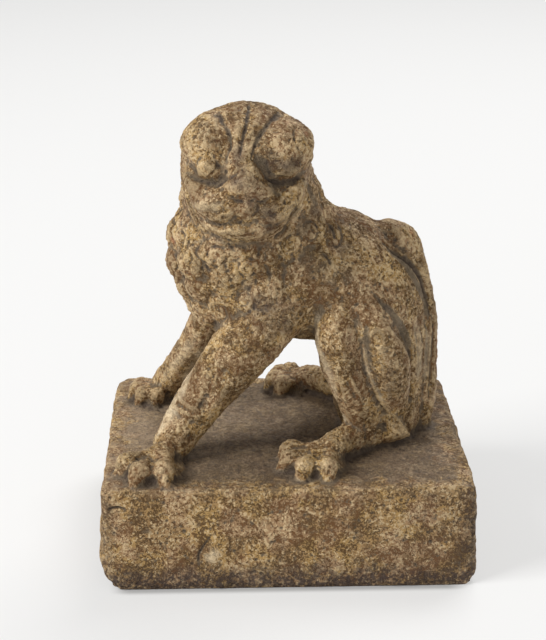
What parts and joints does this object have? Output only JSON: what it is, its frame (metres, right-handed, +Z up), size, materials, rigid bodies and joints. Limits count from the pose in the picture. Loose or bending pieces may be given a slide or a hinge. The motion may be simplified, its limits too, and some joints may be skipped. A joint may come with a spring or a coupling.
{
  "type": "seated lion figure",
  "caption": "Small seated lion with its head turned to the side, a curled mane and long straight forelegs, carved with its rectangular plinth from the same block of mottled marble.",
  "frame": {"origin": "centre of the plinth's underside", "axes": "+X along the plinth from the forepaws to the rump, -Y the way the face looks, +Z up"},
  "size_m": [0.121, 0.098, 0.1505],
  "materials": {
    "marble": "worn and pitted honey-brown marble, mottled cream to dark brown, with grey-brown dust on the plinth's top and in the hollows"
  },
  "bodies": {
    "root": {"lion_and_plinth": "marble"}
  },
  "joints": []
}
